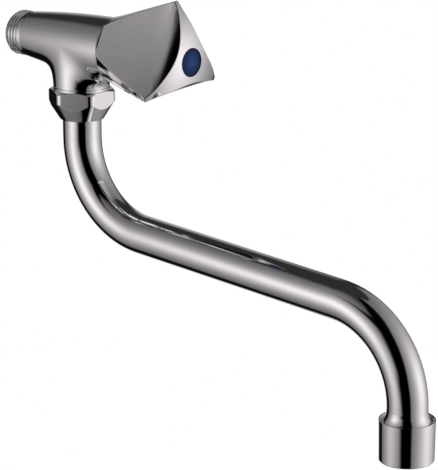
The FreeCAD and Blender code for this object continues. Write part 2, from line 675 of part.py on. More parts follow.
def make_handle_shell():
    body = new_body("handle_shell", valve_axis=True)
    revolve(body, "stock", [
        ("0", "handle_back_out"),
        ("handle_neck_dia / 2", "handle_back_out"),
        ("handle_neck_dia / 2", "handle_neck_out"),
        ("handle_corner_radius", "handle_corner_out", "handle_dome_radius", LEFT),
        ("0", "handle_top_out"),
    ])
    sides = polar(body, side_cut(body), HANDLE_SIDES)
    inner = "handle_neck_dia / 2 - handle_edge_round"
    inner_reach = value(inner)
    outer_edge = lambda edge: edge_reach(edge) > inner_reach
    body.Tip = round_edges(body, "edges", sides, outer_edge, "handle_edge_round")
    revolve(body, "cavity", [
        ("0", "handle_back_out - overrun"),
        ("handle_cavity_dia / 2", "handle_back_out - overrun"),
        ("handle_cavity_dia / 2", "handle_cavity_out"),
        ("handle_well_dia / 2", "handle_cavity_out"),
        ("handle_well_dia / 2", "insert_back_out"),
        ("0", "insert_back_out"),
    ], kind="Groove")
    socket = new_sketch(body, "socket_outline", "XY_Plane", "z", "insert_back_out - overrun")
    draw_hexagon(socket, "insert_hex_width")
    bore(body, "socket", socket, "overrun + insert_length")
    revolve(body, "screw_well", [
        ("0", "insert_front_out - overrun"),
        ("screw_dia / 2 + free_clearance", "insert_front_out - overrun"),
        ("screw_dia / 2 + free_clearance", "web_front_out"),
        ("screw_well_dia / 2", "web_front_out"),
        ("screw_well_dia / 2", "index_seat_out"),
        ("index_dia / 2", "index_seat_out"),
        ("index_dia / 2", "handle_top_out + overrun"),
        ("0", "handle_top_out + overrun"),
    ], kind="Groove")
    return body


def edge_reach(edge):
    """Largest distance of an edge from the valve axis."""
    return max(math.hypot(vertex.X, vertex.Y) for vertex in edge.Vertexes)


def side_stations():
    """Places along a handle side, each with the side's distance from the axis and its hollow there."""
    stations = []
    for share in SIDE_FLAT_SHARES:
        distance = f"side_back_distance + {share} * (side_distance - side_back_distance)"
        stations.append((f"handle_back_out + {share} * (scallop_out - handle_back_out)",
                         distance, f"(side_corner_distance - ({distance}))"))
    for along, depth, hollow in zip(SCALLOP_LENGTH_SHARES, SCALLOP_DEPTH_SHARES, SCALLOP_HOLLOW_SHARES):
        stations.append((f"scallop_out + {along} * scallop_length",
                         f"side_distance - {depth} * (side_distance - scallop_distance)",
                         f"({hollow} * (side_corner_distance - side_distance))"))
    return stations


def side_cut(body):
    """One shallow hollow side, with a scallop that dips into the front face between two corners."""
    sections = []
    for index, (out, distance, hollow) in enumerate(side_stations()):
        radius = f"((side_half_width * side_half_width + {hollow} * {hollow}) / (2 * {hollow}))"
        edge = f"-({distance}) - {radius} + sqrt({radius} * {radius} - handle_reach * handle_reach)"
        sketch = new_sketch(body, f"side_{index}", "XY_Plane", "z", out)
        draw(sketch, [
            ("-handle_reach", edge, radius, RIGHT),
            ("handle_reach", edge),
            ("handle_reach", "-handle_reach"),
            ("-handle_reach", "-handle_reach"),
        ])
        sections.append(sketch)
    loft = body.newObject("PartDesign::SubtractiveLoft", "handle_shell_side")
    loft.Profile = sections[0]
    loft.Sections = sections[1:]
    doc.recompute()
    return loft


def make_spline_insert():
    body = new_body("spline_insert", valve_axis=True)
    stock = new_sketch(body, "stock_outline", "XY_Plane", "z", "insert_back_out")
    draw_hexagon(stock, "insert_hex_width")
    extrude(body, "stock", stock, "insert_length")
    socket = new_sketch(body, "socket_outline", "XY_Plane", "z", "insert_back_out - overrun")
    draw_circle(socket, "0", "0", "spline_dia / 2 + running_clearance")
    bore(body, "socket", socket, "insert_length + 2 * overrun")
    outline = spline_outline(body, "insert_back_out", "2 * running_clearance")
    polar(body, extrude(body, "spline", outline, "insert_length"), SPLINE_TEETH)
    return body


def make_handle_screw():
    body = new_body("handle_screw", valve_axis=True)
    revolve(body, "stock", [
        ("0", "web_front_out - screw_length"),
        ("screw_dia / 2", "web_front_out - screw_length"),
        ("screw_dia / 2", "web_front_out"),
        ("screw_head_dia / 2", "web_front_out"),
        ("screw_head_dia / 2", "web_front_out + screw_head_height"),
        ("0", "web_front_out + screw_head_height"),
    ])
    key_out = "web_front_out + screw_head_height - screw_drive_depth"
    key = new_sketch(body, "key_outline", "XY_Plane", "z", key_out)
    draw_hexagon(key, "screw_drive_width")
    bore(body, "key", key, "screw_drive_depth + overrun")
    return body


def make_index_disc():
    body = new_body("index_disc", valve_axis=True)
    radius = "index_dia / 2 - running_clearance"
    crown = f"(({radius}) * ({radius}) + index_crown * index_crown) / (2 * index_crown)"
    revolve(body, "disc", [
        ("0", "index_seat_out"),
        (radius, "index_seat_out"),
        (radius, "index_edge_out", crown, LEFT),
        ("0", "index_top_out"),
    ])
    return body


def make_union_nut():
    body = new_body("union_nut", out="spout_out")
    hexagon = new_sketch(body, "hexagon_outline", "XY_Plane", "z", "-nut_low_drop")
    draw_hexagon(hexagon, "nut_width")
    extrude(body, "hexagon", hexagon, "nut_height")
    revolve(body, "cone", [
        ("nut_low_dia / 2", "-nut_low_drop"),
        ("nut_corner_dia / 2 + overrun", "-nut_low_drop"),
        ("nut_corner_dia / 2 + overrun",
         "-nut_low_drop + (nut_corner_dia / 2 + overrun - nut_low_dia / 2) / tan(nut_cone_angle)"),
    ], kind="Groove")
    revolve(body, "bevel", [
        ("nut_width / 2", "-nut_hex_drop"),
        ("nut_width / 2 + 2 * overrun", "-nut_hex_drop - 2 * overrun * tan(30)"),
        ("nut_width / 2 + 2 * overrun", "-nut_hex_drop"),
    ], kind="Groove")
    collar = new_sketch(body, "collar_outline", "XY_Plane", "z", "-nut_hex_drop")
    draw_circle(collar, "0", "0", "nut_collar_dia / 2")
    extrude(body, "collar", collar, "nut_collar_height")
    revolve(body, "inside", [
        ("0", "-nut_low_drop - overrun"),
        ("tube_dia / 2 + free_clearance", "-nut_low_drop - overrun"),
        ("tube_dia / 2 + free_clearance", "-nut_floor_drop"),
        ("nut_pocket_dia / 2", "-nut_floor_drop"),
        ("nut_pocket_dia / 2", "-tail_flange_drop"),
        ("outlet_thread_dia / 2 + thread_clearance", "-tail_flange_drop"),
        ("outlet_thread_dia / 2 + thread_clearance", "-nut_top_drop + overrun"),
        ("0", "-nut_top_drop + overrun"),
    ], kind="Groove")
    return body


def make_spout_tail():
    body = new_body("spout_tail", out="spout_out")
    revolve(body, "stock", [
        ("tail_bore_dia / 2", "-tail_spigot_drop"),
        ("tube_bore_dia / 2", "-tail_spigot_drop"),
        ("tube_bore_dia / 2", "-tube_top_drop"),
        ("tail_flange_dia / 2", "-tube_top_drop"),
        ("tail_flange_dia / 2", "-tail_flange_drop"),
        ("tail_dia / 2", "-tail_flange_drop"),
        ("tail_dia / 2", "-tail_top_drop"),
        ("tail_bore_dia / 2", "-tail_top_drop"),
    ])
    for name, place in (("upper_groove", "-upper_seal_drop"), ("lower_groove", "-lower_seal_drop")):
        seal_groove(body, name, "tail_dia", "tail_groove_dia", place, "tail_seal_section")
    return body


def make_spout_seals():
    return [make_seal(label, "tail_seal_ring", "tail_seal_section", "spout_out", drop)
            for label, drop in (("upper_spout_seal", "upper_seal_drop"),
                                ("lower_spout_seal", "lower_seal_drop"))]


def make_slip_washer():
    return make_ring("slip_washer", "tail_flange_dia", "tube_dia + 2 * running_clearance",
                     "-slip_washer_drop", "-tube_top_drop", out="spout_out")


def make_spout_tube():
    body = new_body("spout_tube", out="spout_out")
    path = new_sketch(body, "path", "YZ_Plane")
    draw(path, [
        ("0", "-tube_top_drop"),
        ("0", "-spout_drop", "bend_radius", RIGHT),
        ("-bend_one_out", "-run_start_drop"),
        ("-run_out", "-run_end_drop", "bend_radius", LEFT),
        ("-reach", "-bend_end_drop"),
        ("-reach", "-flare_drop"),
    ], closed=False)
    section = new_sketch(body, "section", "XY_Plane", "z", "-tube_top_drop")
    draw_circle(section, "0", "0", "tube_dia / 2")
    draw_circle(section, "0", "0", "tube_bore_dia / 2")
    doc.recompute()
    pipe = body.newObject("PartDesign::AdditivePipe", "spout_tube_pipe")
    pipe.Profile = section
    pipe.Spine = path
    doc.recompute()
    revolve(body, "flare", [
        ("tube_bore_dia / 2", "-flare_drop"),
        ("tube_bore_dia / 2 + flare_width", "-flare_end_drop"),
        ("tube_bore_dia / 2 + flare_width", "-tube_end_drop"),
        ("outlet_male_dia / 2", "-tube_end_drop"),
        ("outlet_male_dia / 2", "-flare_end_drop", "flare_radius", RIGHT),
        ("tube_dia / 2", "-flare_drop"),
    ], shift_axis="z", shift="reach")
    return body


def on_outlet(label):
    """A body on the outlet axis whose own zero height is the mouth of the aerator."""
    return new_body(label, out="spout_out + reach", drop="aerator_low_drop")


def make_aerator_housing():
    body = on_outlet("aerator_housing")
    thread = "outlet_male_dia / 2 + thread_clearance"
    revolve(body, "stock", [
        ("aerator_mouth_dia / 2", "0"),
        ("aerator_low_dia / 2 - aerator_round", "0", "aerator_round", LEFT),
        ("aerator_low_dia / 2", "aerator_round"),
        ("aerator_top_dia / 2", "aerator_height"),
        (f"{thread} + aerator_rim_bevel", "aerator_height"),
        (thread, "aerator_height - aerator_rim_bevel"),
        (thread, "outlet_washer_base"),
        ("sleeve_dia / 2", "outlet_washer_base"),
        ("sleeve_dia / 2", "aerator_lip"),
        ("aerator_mouth_dia / 2", "aerator_lip"),
    ])
    return body


def make_aerator_sleeve():
    body = on_outlet("aerator_sleeve")
    revolve(body, "stock", [
        ("sleeve_bore_dia / 2 - sleeve_wall", "aerator_lip"),
        ("sleeve_dia / 2", "aerator_lip"),
        ("sleeve_dia / 2", "strainer_base"),
        ("sleeve_bore_dia / 2", "strainer_base"),
        ("sleeve_bore_dia / 2", "grid_base"),
        ("sleeve_bore_dia / 2 - sleeve_wall", "grid_base"),
    ])
    return body


def sector_places(pitch):
    """Cell centres of one sixth of a honeycomb, in steps along two of its directions."""
    return [(f"({ahead} + {aside} / 2) * {pitch}", f"{aside} * {pitch} * cos(30)") if aside else
            (f"{ahead} * {pitch}", "0") for ahead, aside in GRID_SECTOR_CELLS]


def make_aerator_grid():
    body = on_outlet("aerator_grid")
    revolve(body, "disc", disc_outline("sleeve_bore_dia", "grid_base", "jet_plate_base"))
    cell = "grid_pitch - grid_bar"
    middle = new_sketch(body, "middle_outline", "XY_Plane", "z", "grid_base - overrun")
    draw_hexagon(middle, cell, start_angle=30)
    bore(body, "middle", middle, "grid_thickness + 2 * overrun")
    cells = new_sketch(body, "cells_outline", "XY_Plane", "z", "grid_base - overrun")
    for across, along in sector_places("grid_pitch"):
        draw_hexagon(cells, cell, across, along, start_angle=30)
    polar(body, bore(body, "cells", cells, "grid_thickness + 2 * overrun"), HEX_SIDES)
    return body


def make_jet_plate():
    body = on_outlet("jet_plate")
    jet_plate_top = "jet_plate_base + jet_plate_thickness"
    revolve(body, "disc", disc_outline("sleeve_bore_dia", "jet_plate_base", jet_plate_top))
    jet = new_sketch(body, "jet_outline", "XY_Plane", "z", "jet_plate_base - overrun")
    draw_circle(jet, "jet_ring_radius", "0", "jet_hole_dia / 2")
    polar(body, bore(body, "jet", jet, "jet_plate_thickness + 2 * overrun"), JET_HOLES)
    return body


def make_strainer():
    body = on_outlet("strainer")
    revolve(body, "disc", disc_outline("sleeve_dia", "strainer_base", "outlet_washer_base"))
    holes = new_sketch(body, "holes_outline", "XY_Plane", "z", "strainer_base - overrun")
    for across, along in sector_places("strainer_pitch"):
        draw_circle(holes, across, along, "strainer_hole_dia / 2")
    polar(body, bore(body, "holes", holes, "strainer_thickness + 2 * overrun"), HEX_SIDES)
    return body


def make_outlet_washer():
    body = on_outlet("outlet_washer")
    revolve(body, "ring", ring_outline("outlet_male_dia", "outlet_washer_bore_dia", "outlet_washer_base",
                                       "outlet_washer_base + outlet_washer_thickness"))
    return body


pieces = [
    make_tap_body(), make_bonnet(), make_bonnet_gasket(), make_union_nut(),
    make_handle_shell(), make_spline_insert(), make_handle_screw(), make_index_disc(),
    make_spindle(), make_thrust_washer(), make_spindle_clip(), *make_spindle_seals(),
    make_valve_plunger(), make_valve_washer(), make_washer_screw(),
    make_spout_tube(), make_spout_tail(), make_slip_washer(), *make_spout_seals(),
    make_aerator_housing(), make_aerator_sleeve(), make_aerator_grid(), make_jet_plate(),
    make_strainer(), make_outlet_washer(),
]
for label in ("handle_shell", "spline_insert", "spindle"):
    turn_with_handle(doc.getObject(label))
doc.recompute()

for item in doc.Objects:
    if {"Invalid", "Error"} & set(item.State):
        raise RuntimeError(f"{item.Label} did not rebuild: {item.State}")
os.makedirs("parts", exist_ok=True)
for piece in pieces:
    if piece.Shape.isNull() or not piece.Shape.isValid():
        raise RuntimeError(f"{piece.Label} has no valid shape")
    piece.Shape.exportStep(f"parts/{piece.Label}.step")
    print(f"{piece.Label:20s} {len(piece.Shape.Solids)} solid, {piece.Shape.Volume:10.1f} mm3")
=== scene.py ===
"""Looks of a wall-mounted cold water tap: chrome plating, a blue disc, a cut thread and a buffed nut."""
import math

import bmesh
import bpy
from mathutils import Matrix, Vector


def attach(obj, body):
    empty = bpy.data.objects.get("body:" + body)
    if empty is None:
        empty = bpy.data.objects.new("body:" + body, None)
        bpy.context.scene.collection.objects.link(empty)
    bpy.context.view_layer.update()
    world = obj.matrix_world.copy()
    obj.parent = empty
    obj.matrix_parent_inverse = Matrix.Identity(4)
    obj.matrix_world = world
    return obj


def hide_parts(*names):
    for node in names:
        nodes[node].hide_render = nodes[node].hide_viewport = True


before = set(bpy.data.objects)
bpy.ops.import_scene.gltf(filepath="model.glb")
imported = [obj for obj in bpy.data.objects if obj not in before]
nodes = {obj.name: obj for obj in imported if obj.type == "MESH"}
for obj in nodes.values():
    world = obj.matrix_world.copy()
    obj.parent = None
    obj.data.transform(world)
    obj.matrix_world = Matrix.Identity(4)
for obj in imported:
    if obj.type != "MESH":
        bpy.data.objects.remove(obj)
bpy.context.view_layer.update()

MM = 0.001
SAME_PLACE = 1e-6
NEAR_PLACE = 1e-5

# camera of the product photograph
CAMERA_AZIMUTH = math.radians(-48.8473)
CAMERA_ELEVATION = math.radians(15.9805)
CAMERA_ROLL = math.radians(-0.0973)
CAMERA_PLACE = Vector((-0.79349, -0.80732, 0.22528))
CAMERA_LENS = 187.589
CAMERA_SENSOR = 36.0
CAMERA_REACH = (0.05, 60.0)

# cut pipe thread of the inlet
THREAD_TOP_RADIUS = 10.4775 * MM
THREAD_ROOT_RADIUS = 9.32 * MM
THREAD_CORE_RADIUS = 9.0 * MM
THREAD_PITCH = 1.814 * MM
THREAD_CREST_SHARE = 0.08
THREAD_FLANK_SHARE = 0.84
THREAD_ROUNDING = 0.25
THREAD_LENGTH = 10.5 * MM
THREAD_RUN_OUT = 2.9 * MM
PILOT_LENGTH = 1.5 * MM
PILOT_RADIUS = 10.3 * MM
PILOT_SLOPE = 0.6
NECK_SLOPE = 0.1
GROOVE_WIDTH = 0.7 * MM
GROOVE_DEPTH = 0.45 * MM
THREAD_SIDES = 144
THREAD_STEPS = 150

# cast tee of the body: its barrel swells from the wall to the front rim, and its leg hangs below
BARREL_BACK_RADIUS = 10.8 * MM
BARREL_FRONT_RADIUS = 14.1 * MM
BARREL_SWELL_RADIUS = 458.0 * MM
BARREL_LENGTH = 51.9 * MM
LEG_OUT = 29.5 * MM
LEG_RADIUS = 13.1 * MM
LEG_DROP = 20.0 * MM
TEE_SOFT_MIDDLE = 1.2
TEE_SOFT_EDGE = 4.4
TEE_SOFT_REACH = 21.0 * MM
TEE_SOFT_POWER = 2.5
TEE_FADE_OUT = 17.0 * MM
TEE_FADE_DROP = 16.5 * MM
TEE_ROWS = 28
TEE_STEP = 0.9 * MM
TEE_FAN_SHARE = 1.5
TEE_HALVINGS = 36
SKIN_TOLERANCE = 0.25 * MM

# union nut: its hexagon with buffed corners, above a cone
NUT_FLAT = 14.0 * MM
NUT_HEIGHT = 14.0 * MM
NUT_LOW_RADIUS = 10.35 * MM
NUT_COLLAR_RADIUS = 13.2 * MM
NUT_CONE = math.radians(32)
NUT_CHAMFER = math.radians(30)
NUT_CORNER = 3.0 * MM
NUT_FLAT_STEPS = 12
NUT_CORNER_STEPS = 10
NUT_TOLERANCE = 0.12 * MM

# blue disc in the handle's front
DISC_RADIUS = 6.45 * MM

# studio: a light tent of two lit cloths, with a dark gap for the camera and a white table at the back;
# its places are degrees aside of the camera (right is positive) and degrees above the horizon, except that
# the table's are degrees aside of straight behind, and SHUT_BEHIND and OPEN_LEFT are shares of its radius
STUDIO_MIDDLE = Vector((0, -0.12, -0.085))
TENT_RADIUS = 0.85
TENT_AROUND = 96
TENT_UPRIGHT = 48
LEFT_LAMP = {"peak": 1.01, "spot": (-67, -1), "spread": ((26, 25.5), (27.5, 21))}
RIGHT_LAMP = {"peak": 0.98, "spot": (80, -1), "spread": ((30, 39), (45, 29.5))}
BACK_TABLE = {"peak": 0.9, "spot": (-4, -26), "spread": ((10, 10), (16, 34))}
BACK_EDGES = (-18, 9)
BACK_TOP = (34, 18)
LEFT_CLOTH_BACK = -128
LEFT_CLOTH_SLANT = 0.55
LEFT_CLOTH_LEVEL = -10
LEFT_CLOTH_FRONT = (-17, -30)
LEFT_CLOTH_FOLDS = (
    {"height": -14, "half": (4, 12), "shift": (-6, -11)},
    {"height": 39.5, "half": (3, 8.5), "shift": (-20, -50)},
)
LEFT_CLOTH_TOP = (78, 62)
RIGHT_CLOTH_FRONT = 19
RIGHT_CLOTH_BACK = 158
RIGHT_FRONT_SLANTS = ((0, 0.25), (45, 0.45))
RIGHT_FRONT_SINKS = 40
RIGHT_BACK_SLANT = (40, 1.2)
RIGHT_CLOTH_FOOT = (-78, -64, 0.35)
CLOTH_EDGE = 4
SHUT_ABOVE = (10, 30)
SHUT_BEHIND = (-0.1, 0.1)
OPEN_LEFT = (0.46, 0.58)
ROOM_HEIGHTS = (-10, 20)
ROOM_LIGHT = (0.004, 0.028)
ROOM_NEAR_CAMERA = (25, 60, 0.1)
CAMERA_GAP = (9, 20, 0.05)
TENT_TINT = (1.035, 0.985, 1.025, 1)

# floor, background and lamps; a lamp has its place aside of the camera, its height and its power
FLOOR_DROP = 1.3
FLOOR_HALF = 30.0
FLOOR_COLOUR = (0.86, 0.86, 0.86, 1)
FLOOR_ROUGHNESS = 0.8
FLOOR_FADE = (0.5, 1.6)
BACKGROUND_LIGHT = 0.36
LAMP_DISTANCE = 1.4
LAMP_WIDTH = 0.9
SOFT_LAMPS = {"left_lamp": (-75, 15, 9.0), "right_lamp": (114, 15, 11.0), "top_lamp": (0, 75, 7.0)}


def put(tree, kind, **settings):
    node = tree.nodes.new(kind)
    for name, setting in settings.items():
        setattr(node, name, setting)
    return node


def math_node(tree, operation, first, second=None):
    node = put(tree, "ShaderNodeMath", operation=operation)
    for socket, source in zip(node.inputs, (first, second)):
        if isinstance(source, (int, float)):
            socket.default_value = source
        elif source is not None:
            tree.links.new(source, socket)
    return node.outputs[0]


def map_range(tree, source, low, high, to_low=0.0, to_high=1.0):
    node = put(tree, "ShaderNodeMapRange")
    tree.links.new(source, node.inputs["Value"])
    for name, setting in (("From Min", low), ("From Max", high), ("To Min", to_low), ("To Max", to_high)):
        if isinstance(setting, (int, float)):
            node.inputs[name].default_value = setting
        else:
            tree.links.new(setting, node.inputs[name])
    return node.outputs["Result"]


def new_group(name, inputs, outputs):
    """A shader node group with its named inputs (name: default) and outputs (name: kind)."""
    group = bpy.data.node_groups.new(name, "ShaderNodeTree")
    for label, default in inputs.items():
        kind = "NodeSocketFloat"
        if isinstance(default, tuple):
            kind = "NodeSocketColor" if len(default) == 4 else "NodeSocketVector"
        group.interface.new_socket(label, in_out="INPUT", socket_type=kind).default_value = default
    for label, kind in outputs.items():
        group.interface.new_socket(label, in_out="OUTPUT", socket_type=kind)
    entry = group.nodes.new("NodeGroupInput")
    leave = group.nodes.new("NodeGroupOutput")
    return group, entry.outputs, leave.inputs


def place_group(tree, group, **settings):
    node = put(tree, "ShaderNodeGroup", node_tree=group)
    for label, setting in settings.items():
        node.inputs[label].default_value = setting
    return node.outputs


def noise(tree, scale, detail=3.0, stretch=None):
    """Noise in the object's own metres; stretch squeezes it along its axes."""
    place = put(tree, "ShaderNodeTexCoord").outputs["Object"]
    if stretch:
        mapping = put(tree, "ShaderNodeMapping")
        mapping.inputs["Scale"].default_value = stretch
        tree.links.new(place, mapping.inputs["Vector"])
        place = mapping.outputs["Vector"]
    texture = put(tree, "ShaderNodeTexNoise")
    texture.inputs["Detail"].default_value = detail
    if isinstance(scale, (int, float)):
        texture.inputs["Scale"].default_value = scale
    else:
        tree.links.new(scale, texture.inputs["Scale"])
    tree.links.new(place, texture.inputs["Vector"])
    return texture.outputs["Fac"]


def soft_edges_group():
    """Rounded normals at edges, and a mask of those edges."""
    group, entry, leave = new_group("soft_edges", {"Radius": 0.0003},
                                    {"Normal": "NodeSocketVector", "Edge": "NodeSocketFloat"})
    bevel = put(group, "ShaderNodeBevel", samples=6)
    group.links.new(entry["Radius"], bevel.inputs["Radius"])
    plain = put(group, "ShaderNodeNewGeometry").outputs["Normal"]
    turned = put(group, "ShaderNodeVectorMath", operation="DOT_PRODUCT")
    group.links.new(bevel.outputs["Normal"], turned.inputs[0])
    group.links.new(plain, turned.inputs[1])
    edge = map_range(group, turned.outputs["Value"], 0.995, 0.75)
    group.links.new(bevel.outputs["Normal"], leave["Normal"])
    group.links.new(edge, leave["Edge"])
    return group


def hand_haze_group():
    """Slow change of gloss over a handled or dried surface."""
    group, entry, leave = new_group("hand_haze", {"Scale": 60.0, "Low": 0.04, "High": 0.09},
                                    {"Roughness": "NodeSocketFloat", "Haze": "NodeSocketFloat"})
    broad = noise(group, entry["Scale"], detail=4.0)
    haze = map_range(group, broad, 0.35, 0.7)
    group.links.new(map_range(group, haze, 0.0, 1.0, entry["Low"], entry["High"]), leave["Roughness"])
    group.links.new(haze, leave["Haze"])
    return group


def polish_lines_group():
    """Very fine buffing lines as a height."""
    group, entry, leave = new_group("polish_lines", {"Scale": 900.0}, {"Height": "NodeSocketFloat"})
    along = noise(group, entry["Scale"], detail=2.0, stretch=(1.0, 0.08, 0.6))
    across = noise(group, entry["Scale"], detail=2.0, stretch=(0.6, 1.0, 0.08))
    group.links.new(math_node(group, "ADD", along, across), leave["Height"])
    return group


def turning_rings_group():
    """Fine rings that a lathe leaves round an axis, as a height."""
    group, entry, leave = new_group("turning_rings", {"Axis": (0.0, 1.0, 0.0), "Pitch": 0.0003},
                                    {"Height": "NodeSocketFloat"})
    along = put(group, "ShaderNodeVectorMath", operation="DOT_PRODUCT")
    group.links.new(put(group, "ShaderNodeTexCoord").outputs["Object"], along.inputs[0])
    group.links.new(entry["Axis"], along.inputs[1])
    turns = math_node(group, "DIVIDE", along.outputs["Value"], entry["Pitch"])
    wave = math_node(group, "SINE", math_node(group, "MULTIPLY", turns, math.tau))
    uneven = math_node(group, "MULTIPLY", noise(group, 700.0), 1.5)
    group.links.new(math_node(group, "ADD", wave, uneven), leave["Height"])
    return group


def mould_grain_group():
    """Fine grain of a moulded surface, as a height and as a slight change of colour."""
    group, entry, leave = new_group("mould_grain",
                                    {"Scale": 2200.0, "Colour": (0.5, 0.5, 0.5, 1.0), "Change": 0.12},
                                    {"Height": "NodeSocketFloat", "Colour": "NodeSocketColor"})
    grain = noise(group, entry["Scale"], detail=4.0)
    cloud = noise(group, 180.0, detail=2.0)
    shift = math_node(group, "MULTIPLY", math_node(group, "SUBTRACT", cloud, 0.5), entry["Change"])
    tint = put(group, "ShaderNodeHueSaturation")
    group.links.new(entry["Colour"], tint.inputs["Color"])
    group.links.new(math_node(group, "ADD", shift, 1.0), tint.inputs["Value"])
    group.links.new(grain, leave["Height"])
    group.links.new(tint.outputs["Color"], leave["Colour"])
    return group


SOFT_EDGES = soft_edges_group()
HAND_HAZE = hand_haze_group()
POLISH_LINES = polish_lines_group()
TURNING_RINGS = turning_rings_group()
MOULD_GRAIN = mould_grain_group()


def new_finish(name):
    """A material with its own shader; returns it with its node tree and the shader's sockets."""
    finish = bpy.data.materials.new(name)
    finish.use_nodes = True
    tree = finish.node_tree
    shader = next(node for node in tree.nodes if node.type == "BSDF_PRINCIPLED")
    return finish, tree, shader.inputs


def blend_colour(tree, mask, first, second):
    mix = put(tree, "ShaderNodeMix", data_type="RGBA")
    tree.links.new(mask, mix.inputs["Factor"])
    for socket, source in ((mix.inputs[6], first), (mix.inputs[7], second)):
        if isinstance(source, tuple):
            socket.default_value = source
        else:
            tree.links.new(source, socket)
    return mix.outputs[2]


def add_bump(tree, height, depth, strength, normal):
    bump = put(tree, "ShaderNodeBump")
    bump.inputs["Distance"].default_value = depth
    bump.inputs["Strength"].default_value = strength
    tree.links.new(height, bump.inputs["Height"])
    tree.links.new(normal, bump.inputs["Normal"])
    return bump.outputs["Normal"]


def chrome_plating():
    finish, tree, shader = new_finish("bright_chrome")
    edges = place_group(tree, SOFT_EDGES, Radius=0.35 * MM)
    haze = place_group(tree, HAND_HAZE, Scale=45.0, Low=0.035, High=0.06)
    lines = place_group(tree, POLISH_LINES, Scale=700.0)
    plating = blend_colour(tree, haze["Haze"], (0.905, 0.905, 0.905, 1), (0.885, 0.885, 0.885, 1))
    # painted highlight: the plating's colour is lighter along edges
    tree.links.new(blend_colour(tree, edges["Edge"], plating, (0.94, 0.94, 0.94, 1)), shader["Base Color"])
    tree.links.new(haze["Roughness"], shader["Roughness"])
    tree.links.new(add_bump(tree, lines["Height"], 0.002 * MM, 0.25, edges["Normal"]), shader["Normal"])
    shader["Metallic"].default_value = 1.0
    return finish


def turned_brass():
    finish, tree, shader = new_finish("turned_brass")
    edges = place_group(tree, SOFT_EDGES, Radius=0.2 * MM)
    haze = place_group(tree, HAND_HAZE, Scale=160.0, Low=0.2, High=0.36)
    rings = place_group(tree, TURNING_RINGS, Axis=(0.0, 1.0, 1.0), Pitch=0.35 * MM)
    metal = blend_colour(tree, haze["Haze"], (0.80, 0.58, 0.25, 1), (0.62, 0.43, 0.19, 1))
    # painted highlight: the brass's colour is lighter along edges
    tree.links.new(blend_colour(tree, edges["Edge"], metal, (0.90, 0.72, 0.38, 1)), shader["Base Color"])
    tree.links.new(haze["Roughness"], shader["Roughness"])
    tree.links.new(add_bump(tree, rings["Height"], 0.01 * MM, 0.4, edges["Normal"]), shader["Normal"])
    shader["Metallic"].default_value = 1.0
    return finish


def spring_steel():
    finish, tree, shader = new_finish("spring_steel")
    edges = place_group(tree, SOFT_EDGES, Radius=0.15 * MM)
    haze = place_group(tree, HAND_HAZE, Scale=220.0, Low=0.22, High=0.4)
    lines = place_group(tree, POLISH_LINES, Scale=1200.0)
    metal = blend_colour(tree, haze["Haze"], (0.60, 0.60, 0.61, 1), (0.46, 0.46, 0.48, 1))
    # painted highlight: the steel's colour is lighter along edges
    tree.links.new(blend_colour(tree, edges["Edge"], metal, (0.78, 0.78, 0.78, 1)), shader["Base Color"])
    tree.links.new(haze["Roughness"], shader["Roughness"])
    tree.links.new(add_bump(tree, lines["Height"], 0.01 * MM, 0.4, edges["Normal"]), shader["Normal"])
    shader["Metallic"].default_value = 1.0
    return finish


def from_barrel_axis(tree, reach):
    """0 on the barrel's axis, rising to 1 at a distance from it."""
    flat = put(tree, "ShaderNodeVectorMath", operation="MULTIPLY")
    tree.links.new(put(tree, "ShaderNodeTexCoord").outputs["Object"], flat.inputs[0])
    flat.inputs[1].default_value = (1, 0, 1)
    distance = put(tree, "ShaderNodeVectorMath", operation="LENGTH")
    tree.links.new(flat.outputs["Vector"], distance.inputs[0])
    return map_range(tree, distance.outputs["Value"], 0.0, reach)


def moulded(name, colour, change, grain_scale, grain_depth, gloss, sheen=0.5, rim_shade_colour=None):
    """A moulded plastic, rubber or pressed fibre; gloss is its smoothest and dullest roughness.

    A disc on the barrel's axis can darken towards its rim, in painted shade that stands in for the shading
    of a domed disc.
    """
    finish, tree, shader = new_finish(name)
    edges = place_group(tree, SOFT_EDGES, Radius=0.2 * MM)
    grain = place_group(tree, MOULD_GRAIN, Scale=grain_scale, Colour=colour, Change=change)
    haze = place_group(tree, HAND_HAZE, Scale=150.0, Low=gloss[0], High=gloss[1])
    look = grain["Colour"]
    if rim_shade_colour:
        # painted shade: the disc's colour darkens towards its rim
        look = blend_colour(tree, from_barrel_axis(tree, DISC_RADIUS), look, rim_shade_colour)
    tree.links.new(look, shader["Base Color"])
    tree.links.new(haze["Roughness"], shader["Roughness"])
    tree.links.new(add_bump(tree, grain["Height"], grain_depth, 0.5, edges["Normal"]), shader["Normal"])
    shader["Specular IOR Level"].default_value = sheen
    return finish


CHROME = chrome_plating()
BRASS = turned_brass()
STEEL = spring_steel()
RUBBER = moulded("black_rubber", (0.022, 0.022, 0.023, 1), 0.3, 2600.0, 0.02 * MM, (0.5, 0.7))
NYLON = moulded("white_nylon", (0.78, 0.76, 0.70, 1), 0.08, 1800.0, 0.008 * MM, (0.35, 0.5))
GREY_PLASTIC = moulded("grey_plastic", (0.30, 0.31, 0.32, 1), 0.1, 2200.0, 0.008 * MM, (0.32, 0.46))
FIBRE = moulded("red_fibre", (0.30, 0.07, 0.045, 1), 0.5, 1500.0, 0.03 * MM, (0.7, 0.9))
# blue disc, with painted shade that darkens it towards its rim
BLUE = moulded("blue_index", (0.018, 0.055, 0.180, 1), 0.1, 2400.0, 0.0002 * MM, (0.2, 0.28), sheen=0.08,
               rim_shade_colour=(0.001, 0.008, 0.035, 1))

FINISH_OF_SLOT = {
    "chrome": CHROME,
    "brass": BRASS,
    "rubber": RUBBER,
    "nylon": NYLON,
    "grey_plastic": GREY_PLASTIC,
    "fibre": FIBRE,
    "steel": STEEL,
    "blue_plastic": BLUE,
}


def dress_nodes():
    """Gives each piece of the frame the finish that its material slot names."""
    for node in nodes.values():
        for place in node.material_slots:
            place.material = FINISH_OF_SLOT[place.material.name.split(".")[0]]


